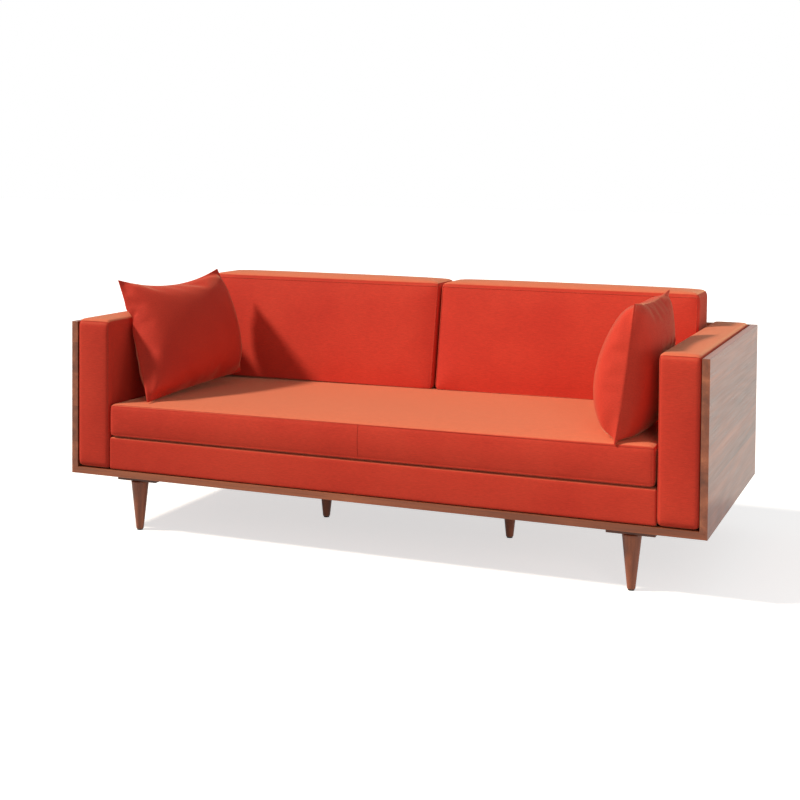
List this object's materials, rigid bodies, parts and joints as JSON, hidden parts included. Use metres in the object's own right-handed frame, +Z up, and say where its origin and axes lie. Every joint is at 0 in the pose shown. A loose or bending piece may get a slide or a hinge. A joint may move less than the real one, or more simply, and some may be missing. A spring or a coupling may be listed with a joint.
{
  "type": "sofa",
  "caption": "Two-seat sofa in a box-shaped walnut case on turned tapered legs, with a bench seat cushion, wedge back cushions, padded arms and loose throw pillows.",
  "frame": {"origin": "on the floor, under the middle of the case", "axes": "+X along the sofa's length to the right as seen from the front, +Y from the seat's front to its back, +Z up"},
  "size_m": [2.134, 0.922, 0.8558],
  "materials": {
    "plywood": "birch plywood, unfinished",
    "orange_cloth": "fine smooth weave, burnt orange, soft sheen",
    "foam": "open-cell cushion foam",
    "zinc_steel": "zinc plated",
    "frame_pine": "planed, unfinished",
    "zip_tape": "woven tape with nylon coil",
    "walnut_board": "oiled, satin, boards glued edge to edge",
    "webbing": "woven elastic",
    "beech_dowel": "plain",
    "grey_felt": "needled felt",
    "spring_steel": "drawn wire",
    "walnut_batten": "oiled, satin",
    "turned_leg": "turned and oiled, satin",
    "nylon_glide": "moulded",
    "feather_insert": "cotton ticking, filled"
  },
  "bodies": {
    "root": {"arm_board_left": "plywood", "arm_board_right": "plywood", "arm_cover_left": "orange_cloth", "arm_cover_right": "orange_cloth", "arm_foam_left": "foam", "arm_foam_right": "foam", "arm_screws": "zinc_steel", "back_bottom_rail": "frame_pine", "back_lining": "orange_cloth", "back_pad": "foam", "back_panel": "walnut_board", "back_posts": "frame_pine", "back_screws": "zinc_steel", "back_top_rail": "frame_pine", "back_webbing": "webbing", "base_board": "walnut_board", "batten_screws": "zinc_steel", "case_dowels": "beech_dowel", "deck_corner_blocks": "frame_pine", "deck_cover": "orange_cloth", "deck_cross_rails": "frame_pine", "deck_felt": "grey_felt", "deck_foam": "foam", "deck_front_rail": "frame_pine", "deck_rear_rail": "frame_pine", "deck_screws": "zinc_steel", "deck_side_rail_left": "frame_pine", "deck_side_rail_right": "frame_pine", "deck_springs": "spring_steel", "leg_batten_centre": "walnut_batten", "leg_batten_left": "walnut_batten", "leg_batten_right": "walnut_batten", "leg_bolts": "zinc_steel", "leg_centre_left": "turned_leg", "leg_centre_right": "turned_leg", "leg_front_left": "turned_leg", "leg_front_right": "turned_leg", "leg_glides": "nylon_glide", "leg_rear_left": "turned_leg", "leg_rear_right": "turned_leg", "leg_tee_nuts": "zinc_steel", "side_panel_left": "walnut_board", "side_panel_right": "walnut_board", "spring_clips": "spring_steel"},
    "seat_cushion": {"seat_cushion_core": "foam", "seat_cushion_cover": "orange_cloth", "seat_cushion_zip": "zip_tape"},
    "back_cushion_left": {"back_cushion_left_core": "foam", "back_cushion_left_cover": "orange_cloth", "back_cushion_left_zip": "zip_tape"},
    "back_cushion_right": {"back_cushion_right_core": "foam", "back_cushion_right_cover": "orange_cloth", "back_cushion_right_zip": "zip_tape"},
    "pillow_left": {"pillow_left_cover": "orange_cloth", "pillow_left_insert": "feather_insert", "pillow_left_zip": "zip_tape"},
    "pillow_right": {"pillow_right_cover": "orange_cloth", "pillow_right_insert": "feather_insert", "pillow_right_zip": "zip_tape"}
  },
  "joints": [
    {"name": "seat_cushion_lift", "type": "slide", "parent": "root", "child": "seat_cushion", "axis": [0, 0, 1], "range_m": [0, 0.42]},
    {"name": "back_cushion_left_lift", "type": "slide", "parent": "seat_cushion", "child": "back_cushion_left", "axis": [0, 0, 1], "range_m": [0, 0.32]},
    {"name": "back_cushion_right_lift", "type": "slide", "parent": "seat_cushion", "child": "back_cushion_right", "axis": [0, 0, 1], "range_m": [0, 0.32]},
    {"name": "pillow_left_lift", "type": "slide", "parent": "seat_cushion", "child": "pillow_left", "axis": [0, 0, 1], "range_m": [0, 0.35]},
    {"name": "pillow_right_lift", "type": "slide", "parent": "seat_cushion", "child": "pillow_right", "axis": [0, 0, 1], "range_m": [0, 0.35]}
  ]
}
